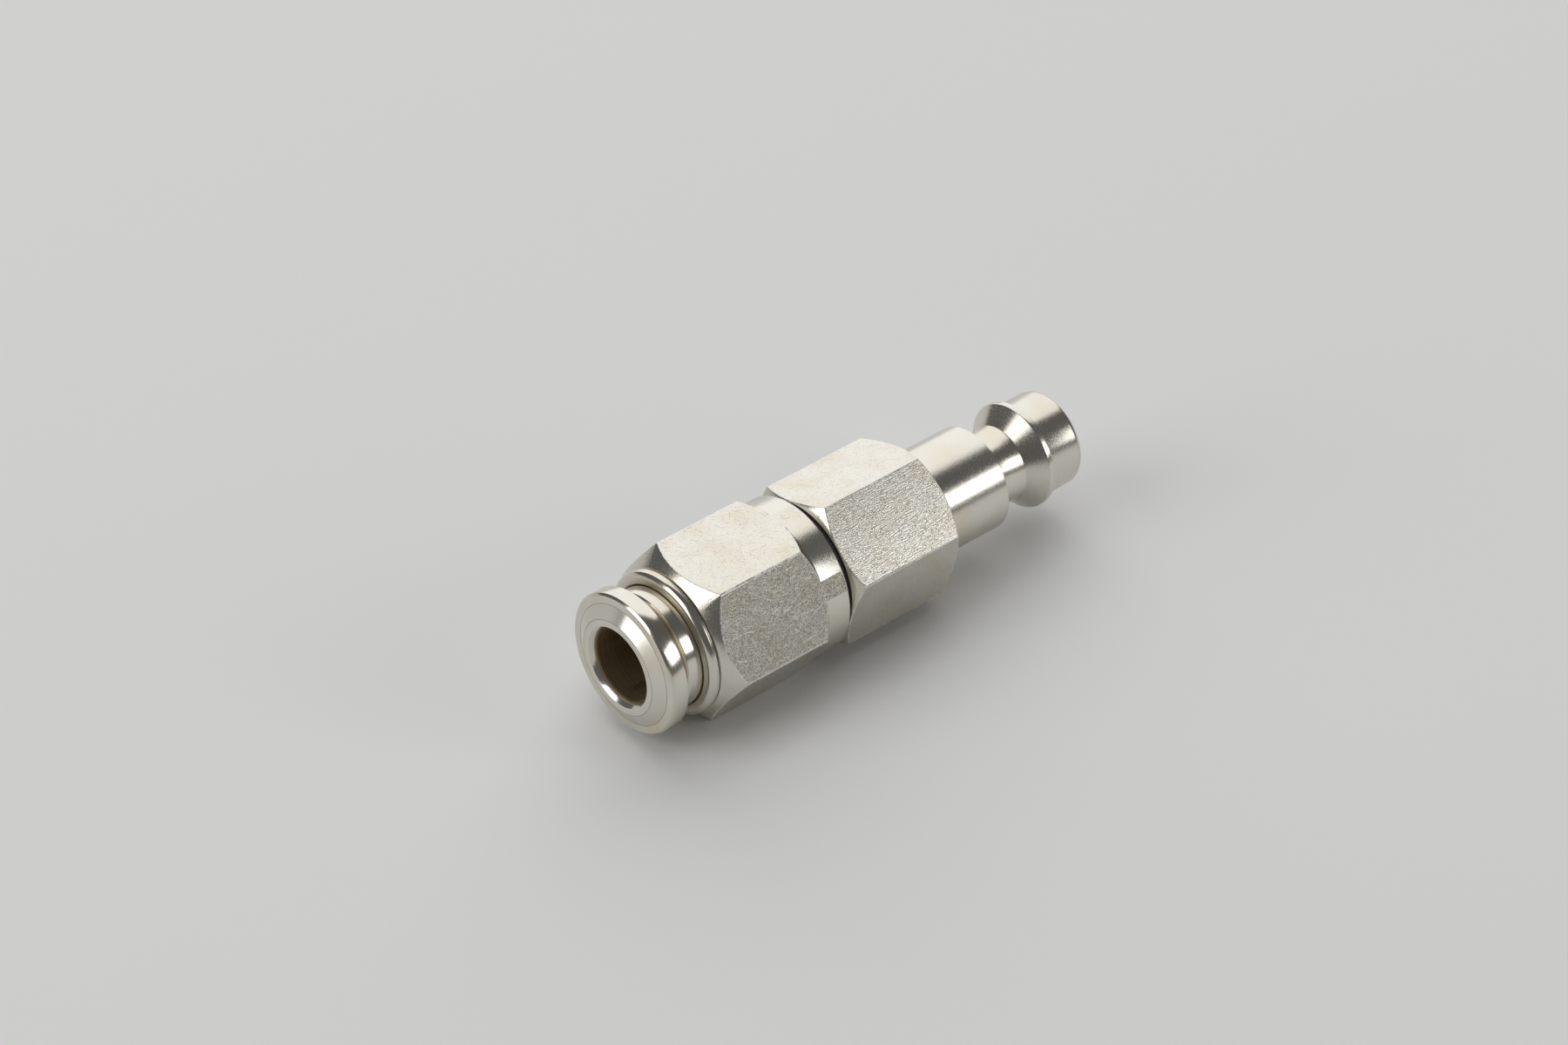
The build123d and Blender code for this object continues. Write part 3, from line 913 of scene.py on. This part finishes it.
# %% Spring
SPRING_WIRE = 0.5
SPRING_MEAN = 2.45
SPRING_TURNS = 7
STEPS_PER_TURN = 48
WIRE_SEGMENTS = 16
spring_front, spring_back = span("valve_spring")
steps = SPRING_TURNS * STEPS_PER_TURN
rise = (spring_back - spring_front - SPRING_WIRE) * MM
coil = bmesh.new()
start = Vector((spring_front + SPRING_WIRE / 2, 0, SPRING_MEAN)) * MM
bmesh.ops.create_circle(
    coil, cap_ends=False, segments=WIRE_SEGMENTS, radius=SPRING_WIRE / 2 * MM,
    matrix=Matrix.Translation(start) @ UPRIGHT,
)
bmesh.ops.spin(
    coil, geom=coil.verts[:] + coil.edges[:], cent=(0, 0, 0), axis=ALONG,
    dvec=ALONG * rise / steps, angle=math.tau * SPRING_TURNS, steps=steps,
)
ends = [edge for edge in coil.edges if edge.is_boundary]
bmesh.ops.holes_fill(coil, edges=ends, sides=0)
bmesh.ops.recalc_face_normals(coil, faces=coil.faces)
spring = finish_piece(
    coil, "spring_of_valve", "coupling", ["valve_spring"],
    [spring_steel.material],
)
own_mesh(spring)

# %% [markdown]
# ## The toothed ring
# Ten bent steel teeth hold the tube, until the release ring pushes them back. The start and end
# of a bend along the axis are worked out, but nothing bends the piece. The mesh is a merged copy
# of the CAD node's, which is fine enough for a place so deep inside.

# %% Toothed ring
CREASE_ANGLE = math.radians(30)
# length along the axis from the start of the bend to its end
BEND_LENGTH = 3.45
teeth = bmesh.new()
teeth.from_mesh(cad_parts["grip_ring"].data)
bmesh.ops.remove_doubles(teeth, verts=teeth.verts, dist=WELD)
bmesh.ops.recalc_face_normals(teeth, faces=teeth.faces)
for face in teeth.faces:
    face.smooth = True
for edge in teeth.edges:
    edge.smooth = edge.calc_face_angle(math.pi) < CREASE_ANGLE
toothed_mesh = bpy.data.meshes.new("toothed_ring")
teeth.to_mesh(toothed_mesh)
teeth.free()
toothed_mesh.materials.append(spring_steel.material)
toothed_ring = bpy.data.objects.new("toothed_ring", toothed_mesh)
bpy.context.scene.collection.objects.link(toothed_ring)
bend_start = AXIS + ALONG * (FRONT + span("grip_support")[0] * MM)
bend_end = bend_start + ALONG * BEND_LENGTH * MM
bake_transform(toothed_ring)
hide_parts("grip_ring")
print(f"toothed_ring: {len(toothed_mesh.polygons)} faces")

# %% [markdown]
# ## CAD nodes that stay
# The support of the toothed ring and the valve's guide lie deep inside. Their CAD meshes are fine
# enough for that, and only need their metals.

# %% Finishes on CAD nodes
for node in ("grip_support", "valve_guide"):
    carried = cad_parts[node]
    carried.data.materials.clear()
    carried.data.materials.append(plain_brass.material)
    print(f"{node}: {plain_brass.material.name}")

# %% [markdown]
# ## Floor
# The coupling lies on one edge of each hexagon on a plain pale floor, a single large face. Its
# colour gives the background, also in the metal's reflections, and nothing else is staged.

# %% Floor
FLOOR_COLOUR = (0.74, 0.74, 0.73, 1)
FLOOR_REACH = 2.0
floor_shape = bmesh.new()
bmesh.ops.create_grid(floor_shape, x_segments=1, y_segments=1, size=FLOOR_REACH)
floor_mesh = bpy.data.meshes.new("floor")
floor_shape.to_mesh(floor_mesh)
floor_shape.free()
floor = bpy.data.objects.new("floor", floor_mesh)
bpy.context.scene.collection.objects.link(floor)
floor_finish = Finish("floor", Roughness=0.6, Base_Color=FLOOR_COLOUR)
floor_mesh.materials.append(floor_finish.material)
print("floor:", floor.name)

# %% [markdown]
# ## Light
# Polished metal reads as round by what it mirrors, so three soft lights stand with dark between
# them: a large one behind, for the upper flats and the long bright bands, a small one at the
# right in front, for the thin bands and the sparkle on the side flats, and a tall one at the
# left, which shows only on faces that lean to the front. A fourth light hangs above for the
# floor, and reflections don't show it. Large lights keep the shadows soft.

# %% Lights
WORLD_GREY = (0.5, 0.5, 0.5, 1)
WORLD_STRENGTH = 0.24


def softbox(name, direction, distance, width, height, power):
    """An area light that looks at the object; distance and sides in metres, power in watts."""
    data = bpy.data.lights.new(name, "AREA")
    data.shape = "RECTANGLE"
    data.size, data.size_y = width, height
    data.energy = power
    lamp = bpy.data.objects.new(name, data)
    heading = Vector(direction).normalized()
    lamp.location = AXIS + heading * distance
    lamp.rotation_euler = (-heading).to_track_quat("-Z", "Y").to_euler()
    bpy.context.scene.collection.objects.link(lamp)
    print(f"{name}: {power} W")
    return lamp


softbox("soft light behind", (0.51, 0.68, 0.53), 0.75, 1.10, 1.10, 4.2)
softbox("soft light right", (0.53, -0.75, 0.39), 0.45, 0.18, 0.18, 0.28)
softbox("soft light left", (-0.875, 0.234, 0.423), 0.80, 0.52, 0.84, 3.2)
overhead = softbox("light for the floor", (0, 0, 1), 1.0, 0.80, 0.80, 2.6)
overhead.visible_glossy = False
world = bpy.data.worlds.new("studio")
bpy.context.scene.world = world
world.use_nodes = True
background = world.node_tree.nodes["Background"]
background.inputs["Color"].default_value = WORLD_GREY
background.inputs["Strength"].default_value = WORLD_STRENGTH
print("world strength:", WORLD_STRENGTH)

# %% [markdown]
# ## Camera
# The camera looks down on the coupling from the photo's side. A long lens from far away keeps
# the hexagons' edges nearly parallel, as in close-up product photographs, and a slight roll
# turns the picture as the photo is turned.

# %% Camera
CAMERA_PLACE = Vector((-215.7, -229.3, 257.9)) * MM
LOOKS_AT = Vector((4.6, 11.5, 0.0)) * MM
CAMERA_ROLL = math.radians(1.59)
LENS = 118.5
SENSOR_WIDTH = 36
NEAREST = 0.01
camera_data = bpy.data.cameras.new("camera")
camera_data.lens = LENS
camera_data.sensor_width = SENSOR_WIDTH
camera_data.clip_start = NEAREST
camera = bpy.data.objects.new("camera", camera_data)
camera.location = CAMERA_PLACE
looking = (LOOKS_AT - CAMERA_PLACE).to_track_quat("-Z", "Y")
camera.rotation_euler = (looking @ Quaternion((0, 0, 1), CAMERA_ROLL)).to_euler()
bpy.context.scene.collection.objects.link(camera)
bpy.context.scene.camera = camera
bpy.context.scene.view_settings.view_transform = "Standard"
print("camera at", [round(value, 4) for value in camera.location])
